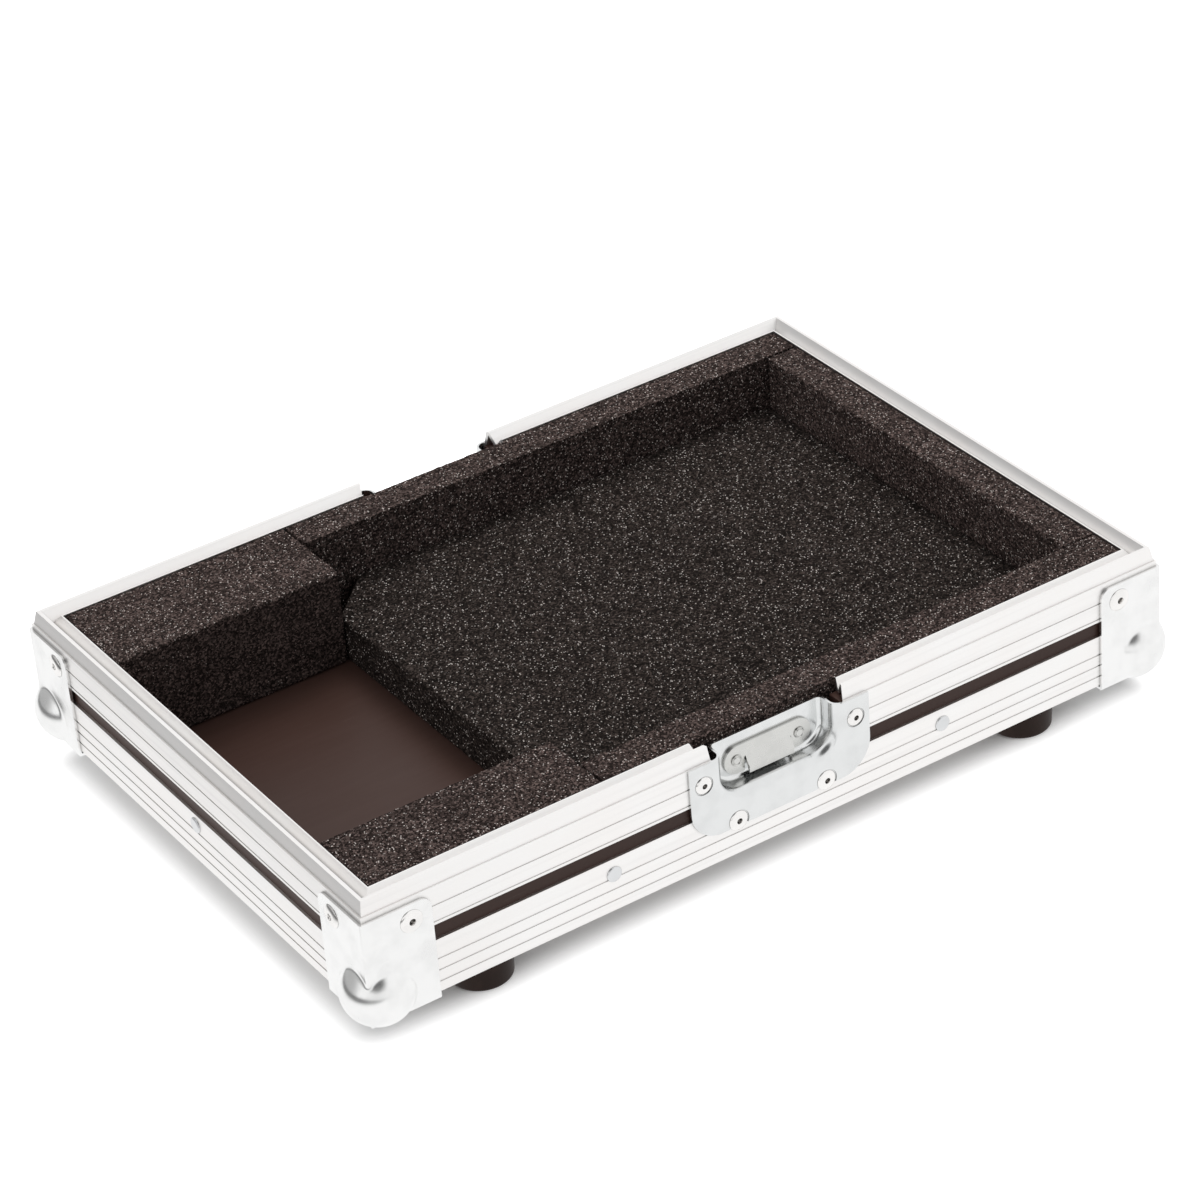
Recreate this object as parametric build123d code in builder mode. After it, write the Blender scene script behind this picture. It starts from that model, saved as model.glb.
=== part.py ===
"""Base of a plywood flight case with aluminium edges, ball corners, latch dishes and a foam fit-out.

The lid is lifted off. X runs along the front edge to the right, Y to the back and Z up.
The origin is the middle of the case on the surface that the rubber feet stand on.
Every length is in millimetres.
"""

import os
from build123d import *

os.makedirs("parts", exist_ok=True)

# Case body, measured over the aluminium edges
case_length = 460.0
case_depth = 314.0
panel_thickness = 9.0
plywood_band = 8.5  # width of bare plywood between the two extrusions

# Lower edge angle
angle_leg = 30.0
angle_wall = 1.5
angle_corner_radius = 2.0
angle_groove_first = 6.8
angle_groove_pitch = 6.35
angle_groove_count = 3
groove_width = 0.9
groove_depth = 0.35

# Upper rim extrusion, a channel over the plywood with a ridge and a V groove on top
rim_wall = 1.5
rim_skirt_height = 21.1
rim_inner_skirt_height = 14.0
rim_ledge_width = 0.8
rim_ridge_width = 1.9
rim_ridge_height = 7.3
rim_ridge_lean = 1.5
rim_groove_inset = 8.0  # how far the bottom of the V lies behind the outer face
rim_groove_rise = 0.9  # how far the bottom of the V lies above the ledge
rim_tip_height = 5.4
rim_tip_width = 0.7
rim_groove_lines = (1.9, 10.8)  # heights of the fine lines above the skirt's lower edge
plywood_top_gap = 0.5

# Ball corner
corner_leg = 36.0
corner_plate = 1.5
corner_plate_height = 56.7
corner_leg_radius = 6.0
ball_radius = 18.2
ball_inset = 9.4  # distance of the ball's centre behind the two walls
ball_rise = 11.0  # height of the ball's centre over the case's underside
ball_blend = 4.0  # radius of the bend between the ball and the plates
corner_arris_radius = 1.0
corner_rivet_inset = 24.8  # from the case's corner along each wall
corner_rivet_height = 47.5

# Latch dish, pressed from sheet steel
dish_sheet = 1.2
dish_width = 104.0
dish_flange_bottom = 17.4  # above the case's underside
dish_flange_top = 59.7
dish_flange_radius = 17.4
pocket_width = 64.0
pocket_bottom = 35.5
pocket_radius = 12.0
pocket_mouth_radius = 5.5
pocket_floor_radius = 2.5
dish_upper_rivet = (44.0, 48.5)  # sideways from the middle, and above the case's underside
dish_lower_rivet = (25.7, 20.3)
rivet_seat_clearance = 0.6  # round a rivet's head
rivet_seat_depth = 0.4
latch_cut_outer = 38.0  # half of the gap in the rim at its outer face
latch_cut_inner = 42.7  # and at its inner face
cut_clearance = 0.2

# Keeper plate, an obround with a hook lip in its middle
keeper_sheet = 1.5
keeper_length = 50.0
keeper_height = 15.4
keeper_seat_gap = 0.2  # between the plate's lower edge and the bend at the pocket's floor
keeper_rivet_spacing = 36.4
lip_width = 26.0
lip_reach = 3.2
lip_ramp = 5.0
lip_slot = 0.6

# Blind rivets with a dome head and an open bore
dish_upper_head_radius = 4.6
dish_lower_head_radius = 5.3
corner_head_radius = 6.0
blind_head_height = 1.3
blind_shank_radius = 2.0
blind_bore_radius = 1.15
blind_bore_depth = 3.0
blind_grip = 8.5

# Flat-head rivets on the edge angles and on the keepers
flat_head_radius = 4.15
flat_head_height = 0.9
flat_shank_radius = 2.0
flat_grip = 7.5
keeper_head_radius = 2.9
keeper_head_height = 0.8
keeper_shank_radius = 1.8
shank_clearance = 0.05
rivet_head_edge = 0.4  # height of the straight edge under a rivet's dome
front_angle_rivet_spacing = 192.0
long_angle_rivet_height = 21.5
short_angle_rivet_height = 23.5

# Rubber feet with their screws and washers
foot_height = 17.0
foot_top_radius = 16.5
foot_bottom_radius = 15.8
foot_edge_radius = 2.0
foot_inset_length = 70.0  # from the case's ends to the middle of a foot
foot_inset_depth = 21.0  # and from its front or back
foot_recess_radius = 6.5
foot_recess_depth = 9.0
washer_radius = 6.0
washer_thickness = 1.2
screw_radius = 2.0
screw_head_radius = 3.8
screw_head_height = 2.6
screw_head_edge_radius = 0.8
screw_end_gap = 1.0  # plywood left over the screw's tip
screw_hole_clearance = 0.2

# Foam fit-out
foam_gap = 0.2
foam_strip_width = 20.0
block_length = 127.0
back_block_width = 55.0
front_block_width = 43.8
pad_thickness = 25.5
pad_corner_cut = 29.0

match_tolerance = 0.02  # how closely an edge lies to a place where it is looked for

# Heights above the surface that the feet stand on
case_z = foot_height
panel_z = case_z + angle_wall
floor_z = panel_z + panel_thickness
rim_z = case_z + angle_leg + plywood_band
ledge_z = rim_z + rim_skirt_height
foam_top_z = ledge_z + rim_tip_height
plywood_top_z = ledge_z - rim_wall + rim_groove_rise - plywood_top_gap

# Insets behind the outer aluminium face
panel_inset = angle_wall
wall_inner_inset = panel_inset + panel_thickness
rim_width = wall_inner_inset + rim_wall

# The quarter turns about Z that bring the front round to each side
sides = {"front": 0, "right": 1, "back": 2, "left": 3}
long_sides = ("front", "back")


def side_length(side):
    """Length of a side along its edge."""
    return case_length if side in long_sides else case_depth


def side_reach(side):
    """Distance of a side's outer face from the middle of the case."""
    return (case_depth if side in long_sides else case_length) / 2


def side_frame(side):
    """Upright frame with X along the side and Y pointing into the case."""
    return Plane.XY.rotated((0, 0, 90 * sides[side]))


def place_on(side, along, inset, height):
    """Point on a side, given along its edge, behind its outer face and above the ground."""
    return side_frame(side).from_local_coords(Vector(along, inset - side_reach(side), height))


def face_plane(side, along=0.0, height=0.0, inset=0.0):
    """Plane flat on a side: X along the edge, Y up and Z out of the case."""
    frame = side_frame(side)
    return Plane(origin=place_on(side, along, inset, height), x_dir=frame.x_dir, z_dir=-frame.y_dir)


def section_plane(side):
    """Plane across a side's left end: X into the case, Y up and Z along the edge."""
    frame = side_frame(side)
    start = place_on(side, -side_length(side) / 2, 0, 0)
    return Plane(origin=start, x_dir=frame.y_dir, z_dir=frame.x_dir)


def underside_location(x, y, height):
    """Place on a face that looks down, with Z pointing down."""
    return Plane(origin=(x, y, height), x_dir=(1, 0, 0), z_dir=(0, 0, -1)).location


def write(part, name):
    """Name a finished piece and write it to its own file."""
    part.label = name
    export_step(part, f"parts/{name}.step")


def four_corners(spacing_x, spacing_y):
    """Signed corner points of a rectangle about the middle."""
    return [(sx * spacing_x / 2, sy * spacing_y / 2) for sx in (-1, 1) for sy in (-1, 1)]


# Places of the fasteners, each with Z pointing out of the face that the head sits on
def dish_pair_places(side, point):
    """Seats of two blind rivets on a latch dish's flange, one on each side of its middle."""
    across, up = point
    seat = dish_sheet - rivet_seat_depth
    return [face_plane(side, sign * across, case_z + up, -seat).location for sign in (-1, 1)]


def dish_rivet_places(side):
    """Seats of all four blind rivets of one latch dish."""
    return dish_pair_places(side, dish_upper_rivet) + dish_pair_places(side, dish_lower_rivet)


def corner_rivet_places(side):
    """Seats of the two blind rivets that hold the ball corners on one side."""
    along = side_length(side) / 2 - corner_rivet_inset
    height = case_z + corner_rivet_height
    return [face_plane(side, sign * along, height, -corner_plate).location for sign in (-1, 1)]


def corner_base_places():
    """Seats of the four blind rivets under the ball corners."""
    spacing_x = case_length - 2 * corner_rivet_inset
    spacing_y = case_depth - 2 * corner_rivet_inset
    return [underside_location(x, y, case_z - corner_plate) for x, y in four_corners(spacing_x, spacing_y)]


def angle_rivet_places(side):
    """Seats of the flat-head rivets on one edge angle: two on the long sides and one on the short."""
    half = front_angle_rivet_spacing / 2
    if side in long_sides:
        points = [(-half, long_angle_rivet_height), (half, long_angle_rivet_height)]
    else:
        points = [(0.0, short_angle_rivet_height)]
    return [face_plane(side, along, case_z + up).location for along, up in points]


foot_spacing_length = case_length - 2 * foot_inset_length
foot_spacing_depth = case_depth - 2 * foot_inset_depth
foot_points = four_corners(foot_spacing_length, foot_spacing_depth)
blind_hole_radius = blind_shank_radius + shank_clearance
flat_hole_radius = flat_shank_radius + shank_clearance
screw_hole_radius = screw_radius + screw_hole_clearance

# Plywood floor, full size under the walls
with BuildPart() as bottom_panel:
    with BuildSketch(Plane.XY.offset(panel_z)):
        Rectangle(case_length - 2 * panel_inset, case_depth - 2 * panel_inset)
        with Locations(*foot_points):
            Circle(screw_hole_radius, mode=Mode.SUBTRACT)
    extrude(amount=panel_thickness)
    with Locations(*corner_base_places()):
        Cylinder(blind_hole_radius, 2 * blind_grip, mode=Mode.SUBTRACT)
write(bottom_panel.part, "bottom_panel")

# Plywood walls: the long ones run the full length and the short ones stand between them
for side in sides:
    end_inset = panel_inset if side in long_sides else wall_inner_inset
    wall_length = side_length(side) - 2 * end_inset
    with BuildPart() as wall_panel:
        with BuildSketch(face_plane(side, 0, (floor_z + plywood_top_z) / 2, panel_inset)):
            Rectangle(wall_length, plywood_top_z - floor_z)
        extrude(amount=-panel_thickness)
        if side in long_sides:
            notch_half = pocket_width / 2 + pocket_mouth_radius + cut_clearance
            notch_z = case_z + pocket_bottom - pocket_mouth_radius - cut_clearance
            with BuildSketch(face_plane(side, 0, notch_z, panel_inset)):
                Rectangle(2 * notch_half, 2 * (plywood_top_z - notch_z), align=(Align.CENTER, Align.MIN))
            extrude(amount=-panel_thickness, mode=Mode.SUBTRACT)
            with Locations(*dish_rivet_places(side)):
                Cylinder(blind_hole_radius, 2 * blind_grip, mode=Mode.SUBTRACT)
        with Locations(*corner_rivet_places(side)):
            Cylinder(blind_hole_radius, 2 * blind_grip, mode=Mode.SUBTRACT)
        with Locations(*angle_rivet_places(side)):
            Cylinder(flat_hole_radius, 2 * flat_grip, mode=Mode.SUBTRACT)
    write(wall_panel.part, f"{side}_panel")


def plan_outline(side, width, left_end=None, right_end=None):
    """Outline in plan of a side's extrusion; an end is mitred unless its two corners are given."""
    span, reach = side_length(side), side_reach(side)
    left = left_end or (-span / 2, -span / 2 + width)
    right = right_end or (span / 2, span / 2 - width)
    with BuildSketch(side_frame(side)) as outline:
        with BuildLine():
            Polyline(
                (left[0], -reach),
                (right[0], -reach),
                (right[1], -reach + width),
                (left[1], -reach + width),
                close=True,
            )
        make_face()
    return outline.sketch


# Lower edge angles, grooved on the outer face and mitred at the corners
for side in sides:
    with BuildPart() as edge_angle:
        with BuildSketch(section_plane(side)):
            with BuildLine():
                Polyline(
                    (0, case_z),
                    (angle_leg, case_z),
                    (angle_leg, case_z + angle_wall),
                    (angle_wall, case_z + angle_wall),
                    (angle_wall, case_z + angle_leg),
                    (0, case_z + angle_leg),
                    close=True,
                )
            section = make_face()
            fillet(section.vertices().sort_by_distance((0, case_z, 0))[0], angle_corner_radius)
            first_groove = case_z + angle_groove_first
            groove_places = [(0, first_groove + i * angle_groove_pitch) for i in range(angle_groove_count)]
            with Locations(*groove_places):
                Rectangle(2 * groove_depth, groove_width, mode=Mode.SUBTRACT)
        extrude(amount=side_length(side))
        extrude(plan_outline(side, angle_leg), amount=case_z + angle_leg, mode=Mode.INTERSECT)
        with Locations(*[underside_location(x, y, case_z) for x, y in foot_points]):
            Cylinder(screw_hole_radius, 4 * angle_wall, mode=Mode.SUBTRACT)
        with Locations(*corner_base_places()):
            Cylinder(blind_hole_radius, 2 * blind_grip, mode=Mode.SUBTRACT)
        with Locations(*angle_rivet_places(side)):
            Cylinder(flat_hole_radius, 2 * flat_grip, mode=Mode.SUBTRACT)
        if side in long_sides:
            with Locations(*dish_rivet_places(side)):
                Cylinder(blind_hole_radius, 2 * blind_grip, mode=Mode.SUBTRACT)
    write(edge_angle.part, f"{side}_edge_angle")


def rim_section(side):
    """Section of the rim: skirts over the plywood, a hollow ridge and a V groove behind it."""
    ridge_outer = rim_ledge_width + rim_ridge_lean
    ridge_inner = ridge_outer + rim_ridge_width
    ridge_z = ledge_z + rim_ridge_height
    groove_z = ledge_z + rim_groove_rise
    web_z = groove_z - rim_wall
    tip_z = ledge_z + rim_tip_height
    outer_slope = rim_ridge_lean / rim_ridge_height
    inner_slope = (rim_groove_inset - ridge_inner) / (ridge_z - groove_z)
    core_depth = 2 * rim_wall  # how far the hollow's outline is drawn on below the web
    core_z = web_z - core_depth
    with BuildSketch(section_plane(side)) as section:
        with BuildLine():
            Polyline(
                (0, rim_z),
                (0, ledge_z),
                (rim_ledge_width, ledge_z),
                (ridge_outer, ridge_z),
                (ridge_inner, ridge_z),
                (rim_groove_inset, groove_z),
                (rim_width - rim_tip_width, tip_z),
                (rim_width, tip_z),
                (rim_width, ledge_z - rim_inner_skirt_height),
                (rim_width, rim_z),
                close=True,
            )
        make_face()
        with BuildLine(mode=Mode.PRIVATE) as core_line:
            Polyline(
                (rim_ledge_width - outer_slope * (ledge_z - core_z), core_z),
                (ridge_outer, ridge_z),
                (ridge_inner, ridge_z),
                (ridge_inner + inner_slope * (ridge_z - core_z), core_z),
                close=True,
            )
        core = make_face(core_line.edges(), mode=Mode.PRIVATE)
        offset(core, amount=-rim_wall, kind=Kind.INTERSECTION, mode=Mode.SUBTRACT)
        channel = wall_inner_inset - rim_wall
        with Locations((rim_wall, rim_z)):
            Rectangle(channel, web_z - rim_z, align=Align.MIN, mode=Mode.SUBTRACT)
            skirt_gap = ledge_z - rim_inner_skirt_height - rim_z
            Rectangle(rim_width, skirt_gap, align=Align.MIN, mode=Mode.SUBTRACT)
        with Locations(*[(0, rim_z + height) for height in rim_groove_lines]):
            Rectangle(2 * groove_depth, groove_width, mode=Mode.SUBTRACT)
    return section.sketch


def make_rim(side, name, left_end=None, right_end=None):
    """One length of the rim, cut to its ends and drilled for the rivets that pass through it."""
    with BuildPart() as rim:
        extrude(rim_section(side), amount=side_length(side))
        outline = plan_outline(side, rim_width, left_end, right_end)
        extrude(outline, amount=foam_top_z + rim_ridge_height, mode=Mode.INTERSECT)
        with Locations(*corner_rivet_places(side)):
            Cylinder(blind_hole_radius, 2 * blind_grip, mode=Mode.SUBTRACT)
        if side in long_sides:
            with Locations(*dish_rivet_places(side)):
                Cylinder(blind_hole_radius, 2 * blind_grip, mode=Mode.SUBTRACT)
    write(rim.part, name)


# Rims: whole on the short sides, cut through at the latch on the long ones
for side in sides:
    if side in long_sides:
        left_name, right_name = ("left", "right") if side == "front" else ("right", "left")
        make_rim(side, f"{side}_rim_{left_name}", right_end=(-latch_cut_outer, -latch_cut_inner))
        make_rim(side, f"{side}_rim_{right_name}", left_end=(latch_cut_outer, latch_cut_inner))
    else:
        make_rim(side, f"{side}_rim")

ball_centre = Vector(ball_inset, ball_inset, ball_rise)


def lies_on_ball(edge):
    """Whether an edge is where the ball meets the plates, and not the ball's own seam."""
    points = [edge.position_at(share) for share in (0.0, 0.5, 1.0)]
    touches = all(abs((point - ball_centre).length - ball_radius) < match_tolerance for point in points)
    is_seam = edge.geom_type == GeomType.CIRCLE and edge.radius > ball_radius - match_tolerance
    return touches and not is_seam


def is_outer_arris(edge):
    """Whether an edge is one of the three long outer edges of the ball corner's plates."""
    return sum(abs(value + corner_plate) < match_tolerance for value in tuple(edge.center())) == 2


# Ball corner, drawn with the case's corner at the origin and the case on the positive side of each axis
with BuildPart() as ball_corner:
    with Locations((-corner_plate, -corner_plate, -corner_plate)):
        leg_size = corner_leg + corner_plate
        Box(leg_size, leg_size, corner_plate_height + corner_plate, align=Align.MIN)
    fillet(ball_corner.edges().filter_by(is_outer_arris), corner_arris_radius)
    with Locations(ball_centre):
        Sphere(ball_radius)
    fillet(ball_corner.edges().filter_by(lies_on_ball), ball_blend)
    with Locations(ball_centre):
        Sphere(ball_radius - corner_plate, mode=Mode.SUBTRACT)
    case_space = 2 * corner_plate_height
    Box(case_space, case_space, case_space, align=Align.MIN, mode=Mode.SUBTRACT)
    leg_ends = ball_corner.edges().filter_by(lambda edge: edge.length < corner_plate + match_tolerance)
    fillet(leg_ends.filter_by(Axis.Y).sort_by(Axis.Z)[-1], corner_leg_radius)
    fillet(leg_ends.filter_by(Axis.X).sort_by(Axis.Z)[-1], corner_leg_radius)
    fillet(leg_ends.filter_by(Axis.Z).sort_by(Axis.X)[-1], corner_leg_radius)
    front_hole = Plane.XZ.location * Location((corner_rivet_inset, corner_rivet_height, 0))
    side_hole = Plane.YZ.location * Location((corner_rivet_inset, corner_rivet_height, 0))
    base_hole = Location((corner_rivet_inset, corner_rivet_inset, 0))
    with Locations(front_hole, side_hole, base_hole):
        Cylinder(blind_hole_radius, 4 * corner_plate, mode=Mode.SUBTRACT)

corner_start = Location((-case_length / 2, -case_depth / 2, case_z))
for y_name, y_mirrored in (("front", False), ("back", True)):
    for x_name, x_mirrored in (("left", False), ("right", True)):
        with BuildPart() as placed_corner:
            with Locations(corner_start):
                add(ball_corner.part)
            if x_mirrored:
                mirror(about=Plane.YZ, mode=Mode.REPLACE)
            if y_mirrored:
                mirror(about=Plane.XZ, mode=Mode.REPLACE)
        write(placed_corner.part, f"{y_name}_{x_name}_ball_corner")

dish_floor_depth = rim_width - dish_sheet


def pocket_sketch(height, half_width, bottom, radius):
    """Outline of the dish's pocket at one height: open at the top and round at the lower corners."""
    with BuildSketch(Plane.XY.offset(height)) as outline:
        with Locations((0, bottom)):
            Rectangle(2 * half_width, dish_flange_top - bottom, align=(Align.CENTER, Align.MIN))
        fillet(outline.vertices().group_by(Axis.Y)[0], radius)
    return outline.sketch


def pocket_edges(edges, height, half_width):
    """Edges of the pocket's outline at one height, without the open top."""
    level = edges.filter_by(lambda edge: abs(edge.center().Z - height) < match_tolerance)
    across = level.filter_by(lambda edge: abs(edge.center().X) < half_width + match_tolerance)
    lowest = pocket_bottom - dish_sheet - match_tolerance
    return across.filter_by(lambda edge: lowest < edge.center().Y < dish_flange_top - match_tolerance)


# Latch dish, drawn with X along the side, Y up from the case's underside and Z out of the case
with BuildPart() as latch_dish:
    with BuildSketch() as flange:
        with Locations((0, dish_flange_bottom)):
            flange_height = dish_flange_top - dish_flange_bottom
            Rectangle(dish_width, flange_height, align=(Align.CENTER, Align.MIN))
        fillet(flange.vertices().group_by(Axis.Y)[0], dish_flange_radius)
    extrude(amount=dish_sheet)
    outer_half = pocket_width / 2 + dish_sheet
    outer_pocket = pocket_sketch(0, outer_half, pocket_bottom - dish_sheet, pocket_radius + dish_sheet)
    extrude(outer_pocket, amount=-rim_width)
    fillet(pocket_edges(latch_dish.edges(), 0, outer_half), pocket_mouth_radius - dish_sheet)
    fillet(pocket_edges(latch_dish.edges(), -rim_width, outer_half), pocket_floor_radius + dish_sheet)
    inner_half = pocket_width / 2
    inner_pocket = pocket_sketch(dish_sheet, inner_half, pocket_bottom, pocket_radius)
    extrude(inner_pocket, amount=-rim_width, mode=Mode.SUBTRACT)
    fillet(pocket_edges(latch_dish.edges(), dish_sheet, inner_half), pocket_mouth_radius)
    fillet(pocket_edges(latch_dish.edges(), -dish_floor_depth, inner_half), pocket_floor_radius)
    for (x, y), head_radius in (
        (dish_upper_rivet, dish_upper_head_radius),
        (dish_lower_rivet, dish_lower_head_radius),
    ):
        with Locations((-x, y, dish_sheet), (x, y, dish_sheet)):
            Cylinder(head_radius + rivet_seat_clearance, 2 * rivet_seat_depth, mode=Mode.SUBTRACT)
            Cylinder(blind_hole_radius, 4 * dish_sheet, mode=Mode.SUBTRACT)
    keeper_y = pocket_bottom + pocket_floor_radius + keeper_seat_gap + keeper_height / 2
    keeper_hole_radius = keeper_shank_radius + shank_clearance
    keeper_points = [(sign * keeper_rivet_spacing / 2, keeper_y, -dish_floor_depth) for sign in (-1, 1)]
    with Locations(*keeper_points):
        Cylinder(keeper_hole_radius, 4 * dish_sheet, mode=Mode.SUBTRACT)

# Keeper, drawn in the same way, with its middle drawn forward into a lip that is free along its lower edge
with BuildPart() as keeper:
    plate_plane = Plane.XY.offset(-dish_floor_depth)
    with BuildSketch(plate_plane):
        with Locations((0, keeper_y)):
            SlotOverall(keeper_length, keeper_height)
        with Locations((0, keeper_y - keeper_height / 2)):
            window_width = lip_width + 2 * lip_slot
            Rectangle(window_width, keeper_height / 2, align=(Align.CENTER, Align.MIN), mode=Mode.SUBTRACT)
        with Locations(*[(x, y) for x, y, z in keeper_points]):
            Circle(keeper_hole_radius, mode=Mode.SUBTRACT)
    extrude(amount=keeper_sheet)
    back = -dish_floor_depth
    lip_back = back + lip_reach
    lip_bottom = keeper_y - keeper_height / 2
    with BuildSketch(Plane.YZ):
        with BuildLine():
            Polyline(
                (keeper_y, back),
                (keeper_y - lip_ramp, lip_back),
                (lip_bottom, lip_back),
                (lip_bottom, lip_back + keeper_sheet),
                (keeper_y - lip_ramp + keeper_sheet / 2, lip_back + keeper_sheet),
                (keeper_y + keeper_sheet / 2, back + keeper_sheet),
                (keeper_y + keeper_sheet / 2, back),
                close=True,
            )
        make_face()
    extrude(amount=lip_width / 2, both=True)

for side in long_sides:
    for piece, kind in ((latch_dish, "latch_dish"), (keeper, "keeper")):
        with BuildPart() as placed_piece:
            with Locations(face_plane(side, 0, case_z).location):
                add(piece.part)
        write(placed_piece.part, f"{side}_{kind}")


def make_rivet(head_radius, head_height, shank_radius, grip, bore_radius=0.0, bore_depth=0.0):
    """Rivet along Z, seated at the origin: domed head above, shank below and, if blind, an open bore."""
    with BuildPart() as rivet:
        with BuildSketch(Plane.XZ):
            with BuildLine():
                TangentArc((0, head_height), (head_radius, rivet_head_edge), tangent=(1, 0))
                Polyline(
                    (head_radius, rivet_head_edge),
                    (head_radius, 0),
                    (shank_radius, 0),
                    (shank_radius, -grip),
                    (0, -grip),
                    (0, head_height),
                )
            make_face()
        revolve(axis=Axis.Z)
        if bore_radius:
            with Locations((0, 0, head_height)):
                Cylinder(bore_radius, 2 * bore_depth, mode=Mode.SUBTRACT)
    return rivet.part


def make_blind_rivet(head_radius):
    """Blind rivet with a head of the given radius."""
    shank = (blind_shank_radius, blind_grip)
    return make_rivet(head_radius, blind_head_height, *shank, blind_bore_radius, blind_bore_depth)


def write_group(name, *pieces_and_places):
    """Copies of fasteners, each at all its places, written as one group of separate solids."""
    with BuildPart() as group:
        for piece, places in pieces_and_places:
            with Locations(*places):
                add(piece)
    write(group.part, name)


upper_places = [place for side in long_sides for place in dish_pair_places(side, dish_upper_rivet)]
lower_places = [place for side in long_sides for place in dish_pair_places(side, dish_lower_rivet)]
write_group(
    "latch_rivets",
    (make_blind_rivet(dish_upper_head_radius), upper_places),
    (make_blind_rivet(dish_lower_head_radius), lower_places),
)
corner_places = [place for side in sides for place in corner_rivet_places(side)] + corner_base_places()
write_group("corner_rivets", (make_blind_rivet(corner_head_radius), corner_places))
angle_rivet = make_rivet(flat_head_radius, flat_head_height, flat_shank_radius, flat_grip)
angle_places = [place for side in sides for place in angle_rivet_places(side)]
write_group("angle_rivets", (angle_rivet, angle_places))
keeper_rivet = make_rivet(
    keeper_head_radius, keeper_head_height, keeper_shank_radius, keeper_sheet + dish_sheet
)
keeper_places = [
    face_plane(side, x, case_z + y, dish_floor_depth - keeper_sheet).location
    for side in long_sides
    for x, y, z in keeper_points
]
write_group("keeper_rivets", (keeper_rivet, keeper_places))

# Rubber foot: tapered, rounded at the ground, and recessed from below for its screw
with BuildPart() as foot:
    with BuildSketch(Plane.XZ) as foot_section:
        with BuildLine():
            Polyline(
                (0, 0),
                (foot_bottom_radius, 0),
                (foot_top_radius, foot_height),
                (0, foot_height),
                close=True,
            )
        make_face()
        fillet(foot_section.vertices().sort_by_distance((foot_bottom_radius, 0, 0))[0], foot_edge_radius)
    revolve(axis=Axis.Z)
    Cylinder(foot_recess_radius, 2 * foot_recess_depth, mode=Mode.SUBTRACT)
    Cylinder(screw_hole_radius, 4 * foot_height, mode=Mode.SUBTRACT)

for y_name, y_sign in (("front", -1), ("back", 1)):
    for x_name, x_sign in (("left", -1), ("right", 1)):
        with BuildPart() as placed_foot:
            with Locations((x_sign * foot_spacing_length / 2, y_sign * foot_spacing_depth / 2)):
                add(foot.part)
        write(placed_foot.part, f"{y_name}_{x_name}_foot")

# Washer and pan-head screw of a foot, seated in its recess
with BuildPart() as washer:
    with BuildSketch(Plane.XY.offset(foot_recess_depth - washer_thickness)):
        Circle(washer_radius)
        Circle(screw_hole_radius, mode=Mode.SUBTRACT)
    extrude(amount=washer_thickness)

with BuildPart() as screw:
    head_z = foot_recess_depth - washer_thickness - screw_head_height
    with BuildSketch(Plane.XY.offset(head_z)):
        Circle(screw_head_radius)
    extrude(amount=screw_head_height)
    fillet(screw.edges().sort_by(Axis.Z)[0], screw_head_edge_radius)
    with BuildSketch(Plane.XY.offset(head_z + screw_head_height)):
        Circle(screw_radius)
    extrude(amount=floor_z - screw_end_gap - head_z - screw_head_height)

foot_places = [Location((x, y, 0)) for x, y in foot_points]
write_group("foot_washers", (washer.part, foot_places))
write_group("foot_screws", (screw.part, foot_places))

# Foam fit-out, between the rim's inner faces
foam_x = case_length / 2 - rim_width - foam_gap
foam_y = case_depth / 2 - rim_width - foam_gap
block_end = -foam_x + block_length
strip_start = block_end + foam_gap


def make_foam(name, x_range, y_range, height):
    """Plain block of foam on the plywood floor."""
    with BuildPart() as block:
        with BuildSketch(Plane.XY.offset(floor_z)):
            with Locations((x_range[0], y_range[0])):
                Rectangle(x_range[1] - x_range[0], y_range[1] - y_range[0], align=Align.MIN)
        extrude(amount=height)
    write(block.part, name)


lining_height = foam_top_z - floor_z
strip_inner_y = foam_y - foam_strip_width
make_foam("back_left_foam_block", (-foam_x, block_end), (foam_y - back_block_width, foam_y), lining_height)
front_block_y = (-foam_y, -foam_y + front_block_width)
make_foam("front_left_foam_block", (-foam_x, block_end), front_block_y, lining_height)
make_foam("back_foam_strip", (strip_start, foam_x), (strip_inner_y, foam_y), lining_height)
make_foam("front_foam_strip", (strip_start, foam_x), (-foam_y, -strip_inner_y), lining_height)
right_strip_y = strip_inner_y - foam_gap
right_strip_x = foam_x - foam_strip_width
make_foam("right_foam_strip", (right_strip_x, foam_x), (-right_strip_y, right_strip_y), lining_height)

# Device pad, with its back left corner cut off
with BuildPart() as pad:
    pad_end = right_strip_x - foam_gap
    with BuildSketch(Plane.XY.offset(floor_z)) as pad_outline:
        with Locations((strip_start, -right_strip_y)):
            Rectangle(pad_end - strip_start, 2 * right_strip_y, align=Align.MIN)
        back_left = pad_outline.vertices().sort_by_distance((strip_start, right_strip_y, 0))[0]
        chamfer(back_left, pad_corner_cut)
    extrude(amount=pad_thickness)
write(pad.part, "device_foam_pad")
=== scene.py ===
# %% [markdown]
# A plywood flight case base, dressed for a studio picture.
# The solids of the case are already finished at their real size, so this lesson only gives them their
# looks. It loads them as a fixed frame, sets up the camera and the light, gives each piece a finish made of
# shader nodes, and builds the foam and the rivets again as finer meshes.

# %% Load the finished solids
import math

import bmesh
import bpy
from mathutils import Matrix, Vector, noise


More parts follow.
